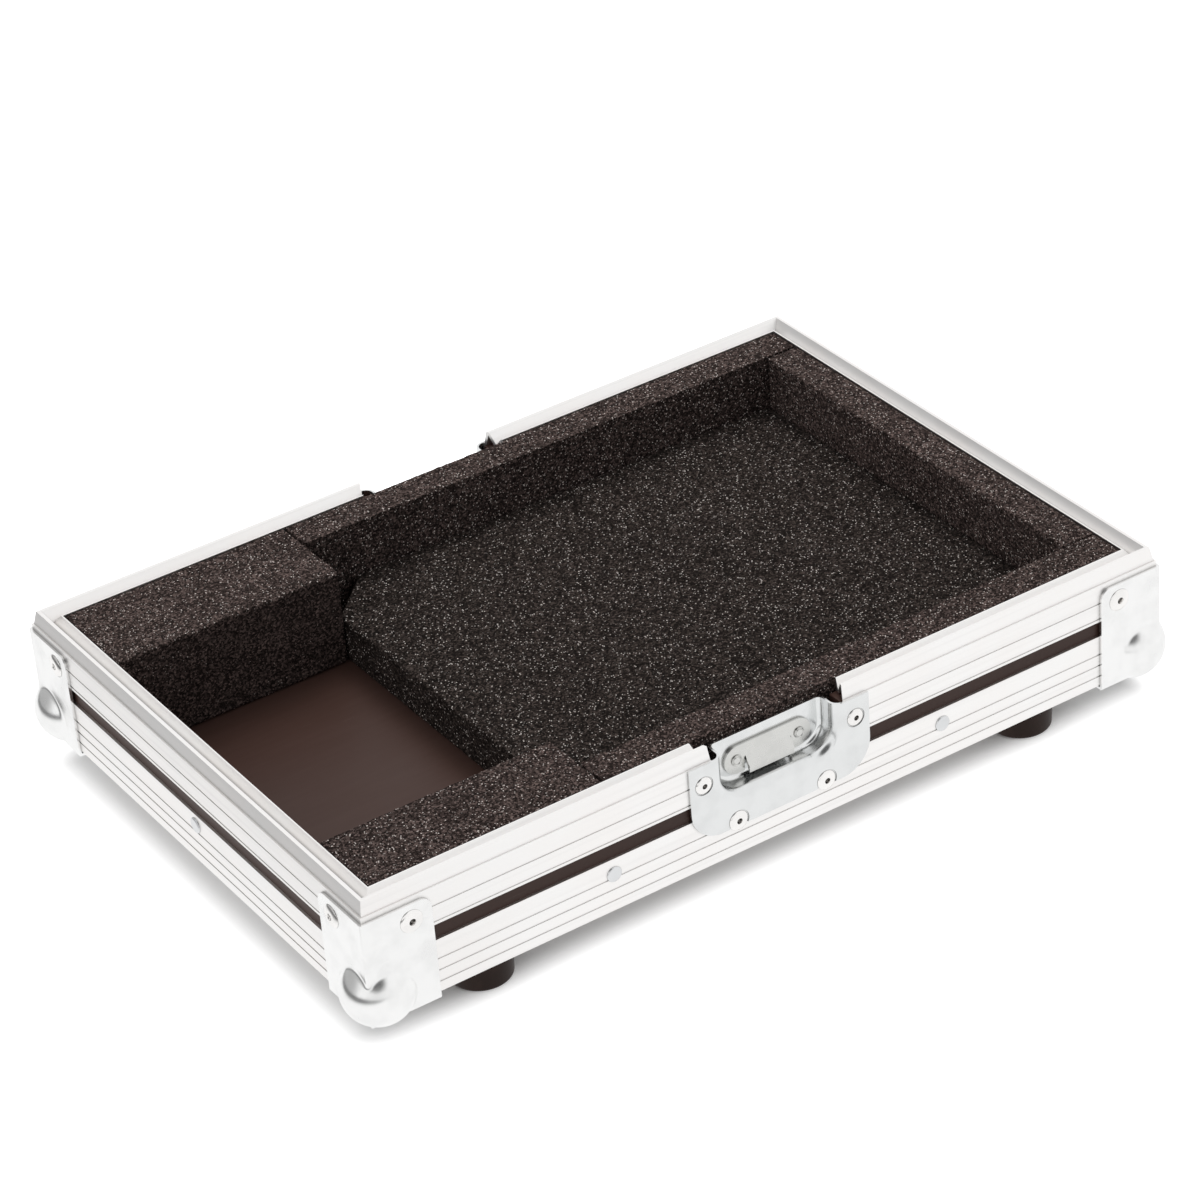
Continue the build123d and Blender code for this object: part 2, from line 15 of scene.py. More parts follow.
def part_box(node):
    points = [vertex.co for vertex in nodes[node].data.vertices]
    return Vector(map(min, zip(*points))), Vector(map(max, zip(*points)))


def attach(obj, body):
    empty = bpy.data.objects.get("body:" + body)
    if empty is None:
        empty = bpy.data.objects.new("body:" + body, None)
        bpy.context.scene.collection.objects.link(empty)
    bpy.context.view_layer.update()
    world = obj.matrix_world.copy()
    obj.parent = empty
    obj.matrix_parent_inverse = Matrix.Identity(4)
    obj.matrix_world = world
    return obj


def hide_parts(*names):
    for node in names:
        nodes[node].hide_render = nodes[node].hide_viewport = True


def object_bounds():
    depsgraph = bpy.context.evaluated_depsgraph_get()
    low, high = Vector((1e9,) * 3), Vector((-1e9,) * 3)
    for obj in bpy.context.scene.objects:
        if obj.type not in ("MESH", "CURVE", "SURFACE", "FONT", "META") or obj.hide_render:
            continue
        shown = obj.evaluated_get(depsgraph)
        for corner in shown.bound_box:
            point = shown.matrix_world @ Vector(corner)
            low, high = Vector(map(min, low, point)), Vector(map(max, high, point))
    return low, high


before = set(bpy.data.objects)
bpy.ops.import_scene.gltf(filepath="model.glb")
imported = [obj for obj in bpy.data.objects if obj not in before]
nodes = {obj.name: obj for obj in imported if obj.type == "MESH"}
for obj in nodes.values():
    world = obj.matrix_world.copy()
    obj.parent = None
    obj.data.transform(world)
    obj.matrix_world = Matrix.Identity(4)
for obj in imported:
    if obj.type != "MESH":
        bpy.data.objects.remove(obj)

cad_low, cad_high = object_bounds()
cad_size = cad_high - cad_low
print("pieces:", len(nodes), "size in mm:", [round(1000 * side, 1) for side in cad_size])

# %% [markdown]
# ## Camera
# A product picture is taken from a few steps away with a long lens, so that edges stay nearly parallel.
# The camera could be aimed with a Track To constraint, but its slight roll would then need a second
# object. Here its three axes are worked out from four angles and become the columns of its matrix.

# %% Camera
photo_width = 1200.0  # pixels
photo_height = 1200.0
optical_axis = (574.85, 656.98)  # where the lens points, in pixels from the upper left
focal_pixels = 4258.5
sensor_width = 36.0  # millimetres
camera_azimuth = math.radians(-31.176)
camera_elevation = math.radians(33.361)
camera_roll = math.radians(-4.900)
camera_distance = 2.1649
camera_target = Vector((0.0084, 0.0341, 0.0170))

camera_data = bpy.data.cameras.new("camera")
camera_data.sensor_width = sensor_width
camera_data.lens = focal_pixels / photo_width * sensor_width
camera_data.shift_x = 0.5 - optical_axis[0] / photo_width
camera_data.shift_y = (optical_axis[1] - photo_height / 2) / photo_width

backward = Vector((
    math.sin(camera_azimuth) * math.cos(camera_elevation),
    -math.cos(camera_azimuth) * math.cos(camera_elevation),
    math.sin(camera_elevation),
))
level_right = Vector((0, 0, 1)).cross(backward).normalized()
level_up = backward.cross(level_right)
camera_right = math.cos(camera_roll) * level_right + math.sin(camera_roll) * level_up
camera_up = math.cos(camera_roll) * level_up - math.sin(camera_roll) * level_right

camera = bpy.data.objects.new("camera", camera_data)
camera_axes = Matrix((camera_right, camera_up, backward)).transposed().to_4x4()
camera.matrix_world = Matrix.Translation(camera_target + camera_distance * backward) @ camera_axes
scene = bpy.context.scene
scene.collection.objects.link(camera)
scene.camera = camera
scene.view_settings.view_transform = "Standard"
print("lens in mm:", round(camera_data.lens, 1))

# %% [markdown]
# ## Shader maths as Python
# Finishes are made of nodes, and a formula with ten Math nodes is hard to read. One small class wraps a
# socket, so that `1 - mask * 0.5` adds its nodes by itself. Another holds a material and adds any node
# from its type, its settings and the values of its sockets.


# %% Sockets that can be added and multiplied
class Value:
    """A number that varies over a surface, as a socket in a node tree."""

    def __init__(self, shader, socket):
        self.shader = shader
        self.socket = socket

    def math(self, operation, first, second):
        return self.shader.add("ShaderNodeMath", {"operation": operation}, {0: first, 1: second})

    def __add__(self, other):
        return self.math("ADD", self, other)

    def __sub__(self, other):
        return self.math("SUBTRACT", self, other)

    def __mul__(self, other):
        return self.math("MULTIPLY", self, other)

    def __radd__(self, other):
        return self.math("ADD", other, self)

    def __rsub__(self, other):
        return self.math("SUBTRACT", other, self)

    def __rmul__(self, other):
        return self.math("MULTIPLY", other, self)

    def between(self, low, high, start=0.0, end=1.0):
        """Start at low, end at high, smooth between them and level outside."""
        sockets = {"Value": self, "From Min": low, "From Max": high, "To Min": start, "To Max": end}
        return self.shader.add("ShaderNodeMapRange", {"interpolation_type": "SMOOTHSTEP"}, sockets)


class Shader:
    """A node tree of a material or the world, emptied and filled again."""

    def __init__(self, owner):
        self.owner = owner
        owner.use_nodes = True
        self.tree = owner.node_tree
        self.tree.nodes.clear()

    def add(self, kind, settings=None, sockets=None, output=0):
        """Adds a node and returns one of its outputs."""
        node = self.tree.nodes.new(kind)
        for name, value in (settings or {}).items():
            setattr(node, name, value)
        for name, value in (sockets or {}).items():
            if isinstance(value, Value):
                self.tree.links.new(value.socket, node.inputs[name])
            else:
                node.inputs[name].default_value = value
        return Value(self, node.outputs[output]) if node.outputs else None

    def mix(self, factor, first, second):
        """A colour from first, at factor 0, to second, at factor 1."""
        sockets = {0: factor, 6: first, 7: second}
        return self.add("ShaderNodeMix", {"data_type": "RGBA"}, sockets, output=2)

    def place(self, scale=(1, 1, 1)):
        """The place on the object in metres, scaled along its axes."""
        place = self.add("ShaderNodeTexCoord", output="Object")
        return self.add("ShaderNodeMapping", None, {"Vector": place, "Scale": scale})

    def noise(self, place, size, detail=2.0, roughness=0.5):
        """Soft random values from 0 to 1, with features of a size in metres."""
        sockets = {"Vector": place, "Scale": 1 / size, "Detail": detail, "Roughness": roughness}
        return self.add("ShaderNodeTexNoise", None, sockets, output="Fac")

    def bump(self, height, depth, strength):
        """A normal bent by a height from 0 to 1 that stands for a depth in metres."""
        sockets = {"Height": height, "Distance": depth, "Strength": strength}
        return self.add("ShaderNodeBump", None, sockets)

    def painted_joint_shade(self, reach):
        """From 0 in the open to 1 deep in a joint, seen over a reach in metres, as a mask for painted
        shade.
        """
        openness = self.add("ShaderNodeAmbientOcclusion", {"samples": 6}, {"Distance": reach}, output="AO")
        return 1 - openness.between(0.25, 0.85)

    def finish(self, **values):
        """Closes a material with one Principled shader, whose sockets are named with underscores."""
        sockets = {name.replace("_", " "): value for name, value in values.items()}
        surface = self.add("ShaderNodeBsdfPrincipled", None, sockets)
        self.add("ShaderNodeOutputMaterial", None, {"Surface": surface})
        return self.owner


def new_shader(name):
    """A new material with an empty node tree."""
    return Shader(bpy.data.materials.new(name))


# %% [markdown]
# ## Floor, world and light
# The case stands on a white table in a bright tent. A path tracer would paint the table and the metal with
# the same light, but a photographer doesn't: they light the table until it is pure white, and put dark
# cards where the metal needs an edge. Light Path tells which kind of ray is looking, so each kind gets its
# own table here. Matt rays see a real matt floor. The camera sees the same floor with a glow that grows
# from under the case's edge outwards, which leaves the contact shadow and whitens the rest. Glossy rays see
# an evenly bright table with a dark card on the left.

# %% Floor
floor_half = 4.0
floor_drop = 0.0002
floor_colour = (0.74, 0.74, 0.74, 1)
glow_light = 0.90
glow_start = (-0.020, -0.028)  # metres outside the short and the long sides, so under 0 is below the case
glow_width = 0.027
table_light = 1.0
card_light = 0.15
card_start = 0.07  # metres left of the case
card_end = 0.17

floor_mesh = bmesh.new()
bmesh.ops.create_grid(floor_mesh, x_segments=1, y_segments=1, size=floor_half)
bmesh.ops.translate(floor_mesh, vec=(0, 0, -floor_drop), verts=floor_mesh.verts)
floor = bpy.data.objects.new("floor", bpy.data.meshes.new("floor"))
floor_mesh.to_mesh(floor.data)
floor_mesh.free()
scene.collection.objects.link(floor)

floor_shader = new_shader("studio_floor")
inner_half = (cad_size.x / 2 + glow_start[0], cad_size.y / 2 + glow_start[1], 0)
place = floor_shader.add("ShaderNodeTexCoord", output="Object")
quarter = floor_shader.add("ShaderNodeVectorMath", {"operation": "ABSOLUTE"}, {0: place})
beyond = floor_shader.add("ShaderNodeVectorMath", {"operation": "SUBTRACT"}, {0: quarter, 1: inner_half})
outside = floor_shader.add("ShaderNodeVectorMath", {"operation": "MAXIMUM"}, {0: beyond, 1: (0, 0, 0)})
away = floor_shader.add("ShaderNodeVectorMath", {"operation": "LENGTH"}, {0: outside}, output="Value")
across = floor_shader.add("ShaderNodeSeparateXYZ", None, {"Vector": place}, output="X")
card = across.between(cad_low.x - card_end, cad_low.x - card_start, card_light, table_light)
seen = floor_shader.add("ShaderNodeLightPath", output="Is Camera Ray")
mirrored = floor_shader.add("ShaderNodeLightPath", output="Is Glossy Ray")
glowing = away.between(0.0, glow_width, 0.0, glow_light)
glow = floor_shader.add("ShaderNodeEmission", None, {"Color": seen * glowing})
matt = floor_shader.add("ShaderNodeBsdfDiffuse", None, {"Color": floor_colour})
lit = floor_shader.add("ShaderNodeAddShader", None, {0: matt, 1: glow})
table = floor_shader.add("ShaderNodeEmission", None, {"Color": card})
surface = floor_shader.add("ShaderNodeMixShader", None, {0: mirrored, 1: lit, 2: table})
floor_shader.add("ShaderNodeOutputMaterial", None, {"Surface": surface})
floor.data.materials.append(floor_shader.owner)
print("floor side in metres:", 2 * floor_half)

# %% [markdown]
# The world does the same above the table. Glossy rays find a bright tent with two dark openings: one above
# the camera, which draws the crescents on rivet heads and the dents of the ball corners, and a softer one
# behind the case on the left. Each opening is a direction, and the angle to it is a dot product.

# %% World
world_light = 0.55
tent_light = 0.97
openings = [  # direction, cosine where it begins, cosine where it is darkest, share of light left there
    ((-0.35, -0.57, 0.74), 0.84, 0.96, 0.10),
    ((-0.66, 0.72, 0.20), 0.55, 0.93, 0.48),
]

world = bpy.data.worlds.new("studio")
scene.world = world
world_shader = Shader(world)
direction = world_shader.add("ShaderNodeTexCoord", output="Generated")
seen = world_shader.add("ShaderNodeLightPath", output="Is Camera Ray")
mirrored = world_shader.add("ShaderNodeLightPath", output="Is Glossy Ray")
reflected = tent_light * mirrored
for middle, begins, darkest, left_over in openings:
    dot_product = {"operation": "DOT_PRODUCT"}
    sockets = {0: direction, 1: middle}
    nearness = world_shader.add("ShaderNodeVectorMath", dot_product, sockets, output="Value")
    reflected = reflected * nearness.between(begins, darkest, 1.0, left_over)
light = seen + reflected + (1 - seen) * (1 - mirrored) * world_light
backdrop = world_shader.add("ShaderNodeBackground", None, {"Color": light})
world_shader.add("ShaderNodeOutputWorld", None, {"Surface": backdrop})
print("dark openings in the tent:", len(openings))

# %% [markdown]
# Two large soft lamps shape the matt surfaces and the shadows. They are hidden from glossy rays, because
# the tent already gives the metal all it should mirror, and a lamp on top would burn it out.


# %% Lamps
def soft_lamp(name, place, size, power):
    """A square lamp that shines at the middle of the case and isn't mirrored by the metal."""
    lamp_data = bpy.data.lights.new(name, "AREA")
    lamp_data.shape = "SQUARE"
    lamp_data.size = size
    lamp_data.energy = power
    lamp = bpy.data.objects.new(name, lamp_data)
    lamp.visible_glossy = False
    towards = -Vector(place)
    lamp.matrix_world = Matrix.Translation(place) @ towards.to_track_quat("-Z", "Y").to_matrix().to_4x4()
    scene.collection.objects.link(lamp)


soft_lamp("key_lamp", (0.55, 0.60, 1.60), 1.0, 18.0)
soft_lamp("fill_lamp", (-1.45, 0.10, 1.00), 1.0, 7.0)
print("lamps:", [lamp.name for lamp in bpy.data.lights])

# %% [markdown]
# ## Extruded aluminium
# The edge angles and the rims are pressed through a die, which leaves fine lines along their length. The
# metal is not polished, so it reflects the white tent as a broad soft glow. The lines are noise stretched
# eighty times along the run, used for the roughness and, very shallow, for the bump. Broad warm and cool
# clouds keep a long bar from looking painted, and painted shade in the joints, found by ambient occlusion,
# draws the thin dark lines that tell two bars from one.

# %% Extruded aluminium
# Joints get painted shade: ambient occlusion over this reach mixes in a dark colour, with one share on
# plates and one on bars.
joint_shade_reach = 0.0022
plate_joint_shade = 0.75  # on zinc plates
bar_joint_shade = 0.45  # on extruded bars
joint_shade_colour = (0.16, 0.15, 0.14, 1)
die_line_size = 0.0006
die_line_stretch = 0.012
die_line_depth = 0.00002
handling_size = 0.035
aluminium_warm = (0.975, 0.955, 0.94, 1)
aluminium_cool = (0.985, 0.975, 0.965, 1)
aluminium_streak = (0.90, 0.885, 0.875, 1)


def extruded_aluminium(name, runs_along_x):
    """Mill-finish aluminium with its die lines along X or Y."""
    shader = new_shader(name)
    stretch = (die_line_stretch, 1, 1) if runs_along_x else (1, die_line_stretch, 1)
    lines = shader.noise(shader.place(stretch), die_line_size, detail=3.0, roughness=0.6)
    streaks = shader.noise(shader.place(stretch), 6 * die_line_size, detail=2.0)
    clouds = shader.noise(shader.place(), handling_size, detail=3.0, roughness=0.6)
    tone = shader.mix(clouds.between(0.35, 0.70), aluminium_warm, aluminium_cool)
    tone = shader.mix(streaks.between(0.50, 0.75) * 0.6, tone, aluminium_streak)
    # Painted shade in the joints, masked by ambient occlusion.
    tone = shader.mix(shader.painted_joint_shade(joint_shade_reach) * bar_joint_shade, tone, joint_shade_colour)
    return shader.finish(
        Base_Color=tone,
        Metallic=1.0,
        Roughness=0.26 + 0.16 * lines + 0.12 * clouds,
        Normal=shader.bump(lines, die_line_depth, strength=0.6),
    )


aluminium_along_x = extruded_aluminium("extruded_aluminium_x", True)
aluminium_along_y = extruded_aluminium("extruded_aluminium_y", False)
print("extruded aluminium:", aluminium_along_x.name, aluminium_along_y.name)

# %% [markdown]
# ## Zinc-plated steel
# The ball corners, dishes and keepers are pressed from sheet steel and zinc plated. Zinc is a little bluer
# and shinier than the aluminium beside it, and it clouds over where hands touch it. A broad noise gives
# those clouds, and a fine one the grain of the plating, which also bumps the surface.

# %% Zinc-plated steel
zinc_cloud_size = 0.012
zinc_grain_size = 0.0016
zinc_grain_depth = 0.000015
zinc_dull_share = 0.95  # of the colour, left where the zinc has clouded over


def zinc_plate(name, tone, shine):
    """Bright zinc of a colour, with the least roughness that it has anywhere."""
    shader = new_shader(name)
    clouds = shader.noise(shader.place(), zinc_cloud_size, detail=4.0, roughness=0.55)
    grain = shader.noise(shader.place(), zinc_grain_size, detail=2.0)
    dull = tuple(zinc_dull_share * part for part in tone) + (1,)
    colour = shader.mix(clouds.between(0.40, 0.72), (*tone, 1), dull)
    # Painted shade in the joints, masked by ambient occlusion.
    colour = shader.mix(shader.painted_joint_shade(joint_shade_reach) * plate_joint_shade, colour, joint_shade_colour)
    return shader.finish(
        Base_Color=colour,
        Metallic=1.0,
        Roughness=shine + 0.08 * clouds.between(0.35, 0.75) + 0.05 * grain,
        Normal=shader.bump(grain, zinc_grain_depth, strength=0.5),
    )


pressed_zinc = zinc_plate("zinc_plated_steel", (0.945, 0.945, 0.94), 0.17)
dish_zinc = zinc_plate("dish_zinc", (0.815, 0.825, 0.825), 0.17)
keeper_zinc = zinc_plate("keeper_zinc", (0.70, 0.70, 0.68), 0.22)
fastener_zinc = zinc_plate("fastener_zinc", (0.78, 0.79, 0.80), 0.26)
rivet_metal = zinc_plate("rivet_aluminium", (0.96, 0.945, 0.93), 0.16)
print("plated finishes:", pressed_zinc.name, dish_zinc.name, keeper_zinc.name, fastener_zinc.name)

# %% [markdown]
# ## Film-faced plywood
# The walls and the floor are birch plywood under a dark brown resin film. The film is smooth and half
# glossy, but the veneer below still shows as a faint long grain in it, and the inside gets scratched by
# what is put in and taken out. Grain and scratches are both noise stretched along X, at unlike sizes.

# %% Film-faced plywood
veneer_size = 0.004
veneer_depth = 0.00002
veneer_stretch = 0.08
scratch_size = 0.0011
scratch_stretch = 0.03
wear_size = 0.03
film_brown = (0.054, 0.029, 0.023, 1)
film_worn = (0.058, 0.032, 0.026, 1)
film_scratched = (0.10, 0.07, 0.06, 1)
film_gloss = 0.22


def film_faced_plywood():
    """Dark brown resin film over birch veneer, with its grain along X."""
    shader = new_shader("film_faced_plywood")
    veneer = shader.noise(shader.place((veneer_stretch, 1, 1)), veneer_size, detail=4.0, roughness=0.6)
    scratches = shader.noise(shader.place((scratch_stretch, 1, 1)), scratch_size, detail=1.0)
    wear = shader.noise(shader.place(), wear_size, detail=3.0)
    colour = shader.mix(veneer.between(0.35, 0.75), film_brown, film_worn)
    colour = shader.mix(scratches.between(0.74, 0.80) * 0.3, colour, film_scratched)
    return shader.finish(
        Base_Color=colour,
        Specular_IOR_Level=film_gloss,
        Roughness=0.34 + 0.12 * wear + 0.04 * veneer,
        Normal=shader.bump(veneer, veneer_depth, strength=0.5),
    )


plywood_film = film_faced_plywood()
print("plywood:", plywood_film.name)

# %% [markdown]
# ## Rubber
# The feet are moulded rubber, brown-black and matt, with a dusty bloom. A fine noise bumps the surface as
# a sandblasted mould does.

# %% Rubber
mould_texture_size = 0.0007
mould_texture_depth = 0.00006
bloom_size = 0.009
rubber_brown = (0.026, 0.015, 0.012, 1)
rubber_dusty = (0.037, 0.022, 0.018, 1)
rubber_gloss = 0.15


def moulded_rubber():
    """Brown-black rubber with a faint bloom and the mould's fine texture."""
    shader = new_shader("moulded_rubber")
    texture = shader.noise(shader.place(), mould_texture_size, detail=2.0)
    bloom = shader.noise(shader.place(), bloom_size, detail=3.0)
    return shader.finish(
        Base_Color=shader.mix(bloom.between(0.4, 0.8), rubber_brown, rubber_dusty),
        Specular_IOR_Level=rubber_gloss,
        Roughness=0.46 + 0.14 * bloom,
        Normal=shader.bump(texture, mould_texture_depth, strength=0.6),
    )


rubber = moulded_rubber()
print("rubber:", rubber.name)

# %% [markdown]
# ## Open-cell foam
# The lining is cut from open-cell foam. Seen close, it is a net of thin struts round dark pores, and here
# and there a strut lies just right and flashes. Voronoi cells give the pores, and their edges the struts.
# The random colour of each cell holds two lots. The first, cubed, gives its tone, so that most cells are
# dark and a few are pale. The second picks the few that flash, and a pale dot round the cell's middle is
# painted in as their highlight. The finish could be one flat dark grey with bump, but this grain is what
# tells foam from felt.

# %% Open-cell foam
pore_size = 0.00084
foam_gloss = 0.05
foam_patch_size = 0.018
foam_bump_depth = 0.0006


def open_cell_foam(name, pore, strut, painted_glint_colour):
    """Foam with the colours of its darkest and palest cells and of the highlights painted where struts
    flash.
    """
    shader = new_shader(name)
    place = shader.place()
    cell = {"Vector": place, "Scale": 1 / pore_size, "Randomness": 1.0}
    to_wall = shader.add("ShaderNodeTexVoronoi", {"feature": "DISTANCE_TO_EDGE"}, cell, output="Distance")
    to_middle = shader.add("ShaderNodeTexVoronoi", {"feature": "F1"}, cell, output="Distance")
    lots = shader.add("ShaderNodeTexVoronoi", {"feature": "F1"}, cell, output="Color")
    tone = shader.add("ShaderNodeSeparateColor", None, {"Color": lots}, output="Red")
    lot = shader.add("ShaderNodeSeparateColor", None, {"Color": lots}, output="Green")
    patches = shader.noise(place, foam_patch_size, detail=3.0)
    colour = shader.mix(tone * tone * tone, (*pore, 1), (*strut, 1))
    colour = shader.mix(0.12 - 0.12 * to_wall.between(0.04, 0.30), colour, (*strut, 1))
    colour = shader.mix(patches.between(0.35, 0.75) * 0.25, colour, (*pore, 1))
    # Painted highlight: a pale dot in the few cells picked by the second lot, for struts that catch the
    # light.
    dots = 1 - to_middle.between(0.22, 0.52)
    painted_glint_mask = dots * lot.between(0.84, 1.0)
    colour = shader.mix(painted_glint_mask, colour, (*painted_glint_colour, 1))
    return shader.finish(
        Base_Color=colour,
        Specular_IOR_Level=foam_gloss,
        Roughness=0.95 - 0.45 * painted_glint_mask,
        Normal=shader.bump(1 - to_wall.between(0.0, 0.45), foam_bump_depth, strength=0.7),
    )


# The third colour of each foam is its painted highlight.
pad_foam = open_cell_foam(
    "pad_foam",
    pore=(0.002, 0.0014, 0.0012),
    strut=(0.092, 0.073, 0.065),
    painted_glint_colour=(0.95, 0.88, 0.83),
)
lining_foam = open_cell_foam(
    "lining_foam",
    pore=(0.004, 0.0026, 0.0023),
    strut=(0.180, 0.133, 0.121),
    painted_glint_colour=(0.95, 0.86, 0.81),
)
print("foam:", pad_foam.name, lining_foam.name)

# %% [markdown]
# ## Finishes on the solids
# Most solids already have their true shape, so they only need a finish. Their names say what they are
# made of, so a short table of name endings gives each its material.

# %% Finishes on the solids
finish_by_ending = {
    "_panel": plywood_film,
    "_ball_corner": pressed_zinc,
    "_latch_dish": dish_zinc,
    "_keeper": keeper_zinc,
    "_foot": rubber,
    "_washers": fastener_zinc,
    "_screws": fastener_zinc,
}


def finish_of(name):
    """The material of a solid, from its name."""
    if "_edge_angle" in name or "_rim" in name:
        return aluminium_along_x if name.startswith(("front", "back")) else aluminium_along_y
    for ending, material in finish_by_ending.items():
        if name.endswith(ending):
            return material
    return rivet_metal


for name, solid in nodes.items():
    solid.data.materials.clear()
    solid.data.materials.append(finish_of(name))
print("finished solids:", len(nodes))

# %% [markdown]
# ## Helpers for new pieces
# The foam and the rivets are built again below. Each new piece is an object at the origin, with its place
# in its mesh, and it rides on the case. A modifier could stay live on it, but the foam's points are moved
# one by one after the remesh, so what the modifier shows is first made the mesh itself.


# %% Helpers for new pieces
def new_piece(name, mesh_maker, material):
    """An object at the origin from a bmesh, riding on the case."""
    mesh = bpy.data.meshes.new(name)
    mesh_maker.to_mesh(mesh)
    mesh_maker.free()
    mesh.materials.append(material)
    piece = bpy.data.objects.new(name, mesh)
    scene.collection.objects.link(piece)
    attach(piece, "root")
    return piece


def box_between(low, high):
    """A bmesh box from its lowest to its highest corner."""
    box = bmesh.new()
    bmesh.ops.create_cube(box, size=1.0)
    bmesh.ops.scale(box, vec=high - low, verts=box.verts)
    bmesh.ops.translate(box, vec=(low + high) / 2, verts=box.verts)
    return box


def apply_modifiers(piece):
    """Makes what the modifiers show the piece's own mesh."""
    depsgraph = bpy.context.evaluated_depsgraph_get()
    shown = bpy.data.meshes.new_from_object(piece.evaluated_get(depsgraph))
    piece.modifiers.clear()
    piece.data = shown


# %% [markdown]
# ## Foam pieces
# Foam cut with a hot wire or a saw is never quite flat, and its edges crumble. Each block starts as a box
# with the solid's own corners, is remeshed into an even grid, and then every point is pushed in by noise:
# a little on the flats, and more on the edges, where pores have torn open. A Displace modifier could do
# this too, but it can't tell an edge from a flat, and the normal of a point can.

# %% Foam roughness
foam_grid = 0.0013
wave_size = 0.045  # slow waves left by the saw
wave_depth = 0.0003
lump_size = 0.0055
lump_depth = 0.0002
tear_size = 0.0022
tear_depth = 0.0004
edge_share = 2.0  # how much deeper an edge is torn than a flat


def roughen(mesh, seed):
    """Pushes every point of a foam mesh in by noise, most of all along its edges."""
    offset = Vector((seed, 2 * seed, 3 * seed))
    normals = [vertex.normal.copy() for vertex in mesh.vertices]
    for vertex, normal in zip(mesh.vertices, normals):
        place = vertex.co
        edge = 1 - max(abs(part) for part in normal)
        wave = 0.5 + 0.5 * noise.noise(place / wave_size + offset)
        lump = 0.5 + 0.5 * noise.noise(place / lump_size + offset)
        tear = 0.5 + 0.5 * noise.noise(place / tear_size + offset)
        depth = wave_depth * wave + lump_depth * lump + tear_depth * tear * (1 + edge_share * edge)
        vertex.co = place - depth * normal


def foam_piece(name, box, replaced, material, seed):
    """A foam block with crumbled edges in place of its plain solid."""
    piece = new_piece(name, box, material)
    remesh = piece.modifiers.new("grid", "REMESH")
    remesh.mode = "VOXEL"
    remesh.voxel_size = foam_grid
    apply_modifiers(piece)
    roughen(piece.data, seed)
    piece.data.shade_flat()
    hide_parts(replaced)
    print(name, "faces:", len(piece.data.polygons))


# %% [markdown]
# Two blocks stand in the left corners and three strips line the walls. All are plain boxes before they are
# roughened, and each has its own seed, so that no two are torn alike.

# %% Foam blocks and strips
lining_nodes = [
    "back_left_foam_block",
    "front_left_foam_block",
    "back_foam_strip",
    "front_foam_strip",
    "right_foam_strip",
]
for seed, node in enumerate(lining_nodes, start=1):
    foam_piece(node.replace("foam", "cut_foam"), box_between(*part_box(node)), node, lining_foam, seed)

# %% [markdown]
# The pad has one corner cut off for a cable. The cut is one slanted plane through its box, so
# bisect_plane makes it and the open side is filled before the remesh.

# %% Device pad
pad_corner_cut = 0.029

pad_low, pad_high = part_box("device_foam_pad")
pad_box = box_between(pad_low, pad_high)
cut_middle = Vector((pad_low.x + pad_corner_cut / 2, pad_high.y - pad_corner_cut / 2, pad_low.z))
cut = bmesh.ops.bisect_plane(
    pad_box,
    geom=[*pad_box.verts, *pad_box.edges, *pad_box.faces],
    plane_co=cut_middle,
    plane_no=(-1, 1, 0),
    clear_outer=True,
)
cut_edges = [item for item in cut["geom_cut"] if isinstance(item, bmesh.types.BMEdge)]
bmesh.ops.holes_fill(pad_box, edges=cut_edges)
bmesh.ops.recalc_face_normals(pad_box, faces=pad_box.faces)
foam_piece("cut_device_pad", pad_box, "device_foam_pad", pad_foam, seed=9)

# %% [markdown]
# ## Rivets
# A blind rivet has a domed flange with a rolled lip round an open bore, and the broken end of its pin sits
# inside. All of that is one profile turned about an axis, which is what spin is for. The solids say where
# each rivet is: a group of rivets is split into its islands, and the side of an island's box that is
# unlike the other two lies along the rivet's axis. The other two are as wide as its head.


# %% Helpers for turned pieces
turning_steps = 40
sharp_edge_angle = math.radians(40)


def turned(profile):
    """A closed bmesh from a profile of (radius, height) points, turned about Z."""
    shape = bmesh.new()
    points = [shape.verts.new((radius, 0, height)) for radius, height in profile]
    edges = [shape.edges.new(pair) for pair in zip(points, points[1:])]
    bmesh.ops.spin(
        shape,
        geom=[*points, *edges],
        cent=(0, 0, 0),
        axis=(0, 0, 1),
        angle=2 * math.pi,
        steps=turning_steps,
        use_merge=True,
    )
    bmesh.ops.remove_doubles(shape, verts=shape.verts, dist=1e-7)
    bmesh.ops.recalc_face_normals(shape, faces=shape.faces)
    return shape


def islands(node):
    """Lowest and highest corner of each separate solid in a node, in the order of their lowest corners."""
    copy = bmesh.new()
    copy.from_mesh(nodes[node].data)
    bmesh.ops.remove_doubles(copy, verts=copy.verts, dist=1e-6)
    waiting = set(copy.verts)
    found = []
    while waiting:
        island = set()
        edge_of_search = [waiting.pop()]
        while edge_of_search:
            vertex = edge_of_search.pop()
            island.add(vertex)
            for edge in vertex.link_edges:
                other = edge.other_vert(vertex)
                if other in waiting:
                    waiting.discard(other)
                    edge_of_search.append(other)
        corners = [vertex.co for vertex in island]
        low = Vector([min(corner[i] for corner in corners) for i in range(3)])
        high = Vector([max(corner[i] for corner in corners) for i in range(3)])
        found.append((low, high))
    copy.free()
    return sorted(found, key=lambda corners: tuple(corners[0]))


def seats(node, head_height):
    """Where each rivet's head sits, as a matrix with Z out of the case, and the head's radius."""
    middle = Vector((0, 0, (cad_low.z + cad_high.z) / 2))
    places = []
    for low, high in islands(node):
        size = high - low
        axis = max(range(3), key=lambda i: abs(size[i] - sorted(size)[1]))
        centre = (low + high) / 2
        outward = Vector((0, 0, 0))
        outward[axis] = math.copysign(1, centre[axis] - middle[axis])
        top = high if outward[axis] > 0 else low
        seat = centre.copy()
        seat[axis] = top[axis] - head_height * outward[axis]
        turn = outward.to_track_quat("Z", "Y").to_matrix().to_4x4()
        head_radius = sorted(size)[1] / 2
        places.append((Matrix.Translation(seat) @ turn, head_radius))
    return places


